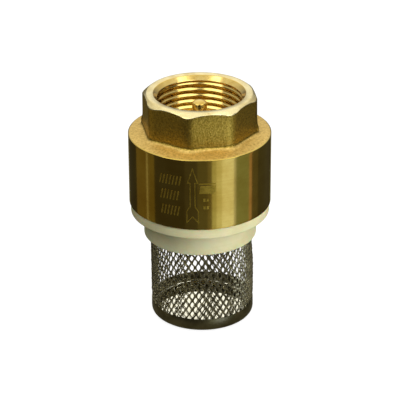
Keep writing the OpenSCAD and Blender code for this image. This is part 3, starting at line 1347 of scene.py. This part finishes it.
@dataclass
class Studio:
    """A pale sweep with soft lights overhead and cards on the floor that the brass mirrors.

    Attributes:
        middle_z: Height of the point that the camera looks at, in millimetres.
        azimuth: Camera's direction round the axis, in degrees from -Y.
        elevation: Camera's height above the floor, in degrees.
        distance: From the camera to the point it looks at, in millimetres.
        lens: Focal length for a sensor 36 mm wide.
        roll: Turn of the camera about its own axis, in degrees.
        barrel_r: Radius of the barrel that mirrors the cards, in millimetres.
        card_reach: Length of the floor cards, in millimetres.
        card_z: Height of the floor cards, in metres.
        foot_card_r: Radius of the round card, in metres.
        foot_card_z: Height of the round card, in metres.
        light_distance: From the lights to the point they face, in millimetres.
        light_aim_z: Height of the point that the lights face, in millimetres.
    """

    middle_z: float = 35.08
    azimuth: float = -10.5
    elevation: float = 25.96
    distance: float = 552.4
    lens: float = 172.68
    roll: float = -0.28
    barrel_r: float = 20.3
    card_reach: float = 700.0
    card_z: float = -0.0012
    foot_card_r: float = 0.028
    foot_card_z: float = -0.0011
    light_distance: float = 600.0
    light_aim_z: float = 45.0

    def direction(self, degrees: float) -> Vector:
        """Level direction at an angle round the axis, from the camera's side towards its right."""
        angle = math.radians(self.azimuth + degrees)
        return Vector((math.sin(angle), -math.cos(angle), 0))

    def add_camera(self) -> None:
        """Create the camera and make it the scene's camera."""
        rise = math.radians(self.elevation)
        target = Vector((0, 0, self.middle_z))
        away = self.direction(0) * math.cos(rise) + Vector((0, 0, math.sin(rise)))
        data = bpy.data.cameras.new("camera")
        data.lens = self.lens
        data.sensor_width = 36.0
        data.clip_start = 0.01
        data.clip_end = 20.0
        camera = bpy.data.objects.new("camera", data)
        bpy.context.scene.collection.objects.link(camera)
        turn = (-away).to_track_quat("-Z", "Y").to_matrix().to_4x4()
        camera.matrix_world = turn
        camera.rotation_euler.rotate_axis("Z", math.radians(self.roll))
        camera.location = (target + away * self.distance) * MM
        bpy.context.scene.camera = camera

    def lay_card(self, card: bpy.types.Object, name: str, colour: tuple[float, float, float]) -> None:
        """Give a card a plain glow and let only mirror images show it.

        Args:
            card: The card.
            name: The material's name.
            colour: Linear colour of the glow.
        """
        material, tree = blank_material(name)
        light = add_node(
            tree, "ShaderNodeEmission", {"Color": (*colour, 1.0), "Strength": 1.0}
        ).outputs["Emission"]
        add_node(tree, "ShaderNodeOutputMaterial", None, {"Surface": light})
        card.data.materials.append(material)
        for ray in ("camera", "diffuse", "shadow", "transmission"):
            setattr(card, f"visible_{ray}", False)

    def mirror_line(self, phi: float) -> tuple[Vector, Vector]:
        """Where the barrel's surface at an angle mirrors the floor, as a line on the floor.

        Args:
            phi: Angle round the barrel from the camera's side.

        Returns:
            The line's start and end, in millimetres.
        """
        start = self.direction(phi) * self.barrel_r
        camera_r = self.distance * math.cos(math.radians(self.elevation))
        across = self.barrel_r * math.sin(math.radians(phi))
        seen_from = math.degrees(math.atan2(across, camera_r))
        return start, start + self.direction(2 * phi + seen_from) * self.card_reach

    def add_card(self, phi_from: float, phi_to: float, seen: str, index: int) -> None:
        """Lay a card on the floor so that the barrel shows its mirror image between two angles.

        Args:
            phi_from: Where the mirror image starts, in degrees.
            phi_to: Where it ends.
            seen: The colour that the brass shows there.
            index: Number of the card.
        """
        near_a, far_a = self.mirror_line(phi_from)
        near_b, far_b = self.mirror_line(phi_to)
        facing = math.cos(math.radians((phi_from + phi_to) / 2)) * math.cos(math.radians(self.elevation))
        mirror = [b + (1 - b) * (1 - facing) ** 5 for b in linear("#c8ab54")[:3]]
        colour = tuple(s / m for s, m in zip(linear(seen)[:3], mirror))
        deselect_all()
        bpy.ops.mesh.primitive_plane_add(size=1)
        card = named(f"floor_card_{index}")
        for vert, corner in zip(card.data.vertices, (near_a, near_b, far_a, far_b)):
            vert.co = corner * MM + Vector((0, 0, self.card_z))
        self.lay_card(card, f"card_{index}", colour)

    def add_cards(self) -> None:
        """Lay all cards, from the left silhouette to the right one."""
        bands = [
            (-89.0, "#6e643c"),
            (-78.5, "#2e2610"),
            (-61.0, "#56400e"),
            (-47.2, "#7d682c"),
            (-45.4, "#57420e"),
            (-38.5, "#31260a"),
            (-12.0, "#3a2e0e"),
            (-2.0, "#4a3c12"),
            (6.0, "#5c4a18"),
            (9.4, "#9a8638"),
            (13.0, "#b6a04c"),
            (17.5, "#ccb662"),
            (27.6, "#9a8846"),
            (29.6, "#6e6426"),
            (42.4, "#8e6429"),
            (45.4, "#4a3b12"),
            (53.0, "#3a3012"),
            (70.0, "#3a3018"),
            (73.5, "#322a10"),
            (78.5, "#6e643c"),
        ]
        ends = [start for start, _ in bands[1:]] + [89.0]
        for index, ((start, seen), end) in enumerate(zip(bands, ends)):
            self.add_card(start, end, seen, index)

    def add_foot_card(self) -> None:
        """Lay a round card under the basket for the steel cup to mirror."""
        deselect_all()
        bpy.ops.mesh.primitive_circle_add(
            vertices=64, radius=self.foot_card_r, fill_type="NGON", location=(0, 0, self.foot_card_z)
        )
        card = named("foot_card")
        self.lay_card(card, "foot_card", (0.15, 0.135, 0.09))

    def add_floor(self) -> None:
        """A pale floor that the camera sees and the object doesn't mirror."""
        deselect_all()
        bpy.ops.mesh.primitive_plane_add(size=6.0, location=(0, 0, 0))
        floor = named("floor")
        material, tree = blank_material("pale_paper_sweep")
        glow = add_node(tree, "ShaderNodeEmission", {"Color": (1, 1, 1, 1), "Strength": 0.88}).outputs[0]
        matt = add_node(tree, "ShaderNodeBsdfDiffuse", {"Color": (0.22, 0.22, 0.22, 1)}).outputs[0]
        both = add_node(tree, "ShaderNodeAddShader")
        tree.links.new(glow, both.inputs[0])
        tree.links.new(matt, both.inputs[1])
        add_node(tree, "ShaderNodeOutputMaterial", None, {"Surface": both.outputs[0]})
        floor.data.materials.append(material)
        floor.visible_glossy = False
        floor.visible_diffuse = False
        floor.location.z = -0.0002

    def add_softbox(
        self,
        name: str,
        azimuth: float,
        elevation: float,
        size: tuple[float, float],
        power: float,
        mirrored: bool = True,
    ) -> None:
        """Add a soft area light that faces the object.

        Args:
            name: The light's name.
            azimuth: Degrees round the axis from the camera's side.
            elevation: Degrees above the floor.
            size: Width and height in millimetres.
            power: Power in watts.
            mirrored: False for a fill that bare metal doesn't show.
        """
        data = bpy.data.lights.new(name, "AREA")
        data.shape = "RECTANGLE"
        data.size, data.size_y = size[0] * MM, size[1] * MM
        data.energy = power
        light = bpy.data.objects.new(name, data)
        bpy.context.scene.collection.objects.link(light)
        rise = math.radians(elevation)
        away = self.direction(azimuth) * math.cos(rise) + Vector((0, 0, math.sin(rise)))
        light.location = (away * self.light_distance + Vector((0, 0, self.light_aim_z))) * MM
        light.rotation_euler = away.to_track_quat("Z", "Y").to_euler()
        light.visible_glossy = mirrored

    def add_world(self) -> None:
        """White surroundings above, dark towards and below the horizon."""
        world = bpy.data.worlds.new("studio")
        bpy.context.scene.world = world
        world.use_nodes = True
        tree = world.node_tree
        tree.nodes.clear()
        place = add_node(tree, "ShaderNodeTexCoord").outputs["Generated"]
        back = self.direction(180) * 0.45 + Vector((0, 0, 1))
        lean = add_node(tree, "ShaderNodeVectorMath", {1: back}, {0: place}, operation="DOT_PRODUCT")
        ramp = add_node(
            tree,
            "ShaderNodeMapRange",
            {"From Min": 0.42, "From Max": 0.85, "To Min": 0.03, "To Max": 1.2},
            {"Value": lean.outputs["Value"]},
        ).outputs["Result"]
        sky = add_node(tree, "ShaderNodeBackground", {"Color": (1, 1, 1, 1)}, {"Strength": ramp})
        add_node(tree, "ShaderNodeOutputWorld", None, {"Surface": sky.outputs[0]})

    def build(self) -> None:
        """Set up the whole studio."""
        self.add_camera()
        self.add_world()
        self.add_floor()
        self.add_cards()
        self.add_foot_card()
        self.add_softbox("softbox_left", -45, 46, (420, 400), 1.15)
        self.add_softbox("softbox_right", 45, 46, (420, 400), 1.15)
        self.add_softbox("fill_right", 58, 4, (200, 200), 2.5, mirrored=False)
        self.add_softbox("fill_front", 16, 0, (160, 90), 0.8, mirrored=False)
        bpy.context.scene.view_settings.view_transform = "Standard"


def box_mm(node: str) -> tuple[Vector, Vector]:
    """Lowest and highest corner of a CAD node in millimetres."""
    low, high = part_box(node)
    return low / MM, high / MM


def main() -> None:
    """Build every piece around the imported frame."""
    logging.basicConfig(level=logging.INFO, format="%(name)s: %(message)s")
    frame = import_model()
    body_low, body_high = box_mm("valve_body")
    adaptor_low, _ = box_mm("seat_adaptor")
    screen_low, screen_high = box_mm("strainer_screen")
    _, cup_high = box_mm("strainer_cup")
    stem_low, stem_high = box_mm("valve_stem")
    pieces = [
        ValveBody(barrel_z=body_low.z, rim_z=body_high.z, barrel_r=body_high.x).build(),
        BarrelMarks(barrel_r=body_high.x, barrel_z=body_low.z).build(),
        SeatAdaptor(collar_z=adaptor_low.z, flange_z=adaptor_low.z + COLLAR_H, barrel_z=body_low.z).build(),
    ]
    strainer = Strainer(
        foot_z=screen_low.z, top_z=screen_high.z, screen_r=screen_high.x, cup_r=cup_high.x, cup_h=cup_high.z
    )
    pieces += [strainer.build_screen(), strainer.build_cup()]
    pieces.append(Poppet(stem_bottom_z=stem_low.z, tip_z=stem_high.z).build_stem())
    spring_low, spring_high = box_mm("return_spring")
    lift = frame["joints"][0]["range_m"][1] / MM
    spring = ReturnSpring(low_z=spring_low.z, top_z=spring_high.z, outer_r=spring_high.x, travel=lift)
    pieces.append(spring.build())
    dress_cad_nodes(frame["nodes"])
    Studio().build()
    for piece in pieces:
        LOG.info("%s: %d faces", piece.name, len(piece.data.polygons))


if __name__ == "__main__":
    main()
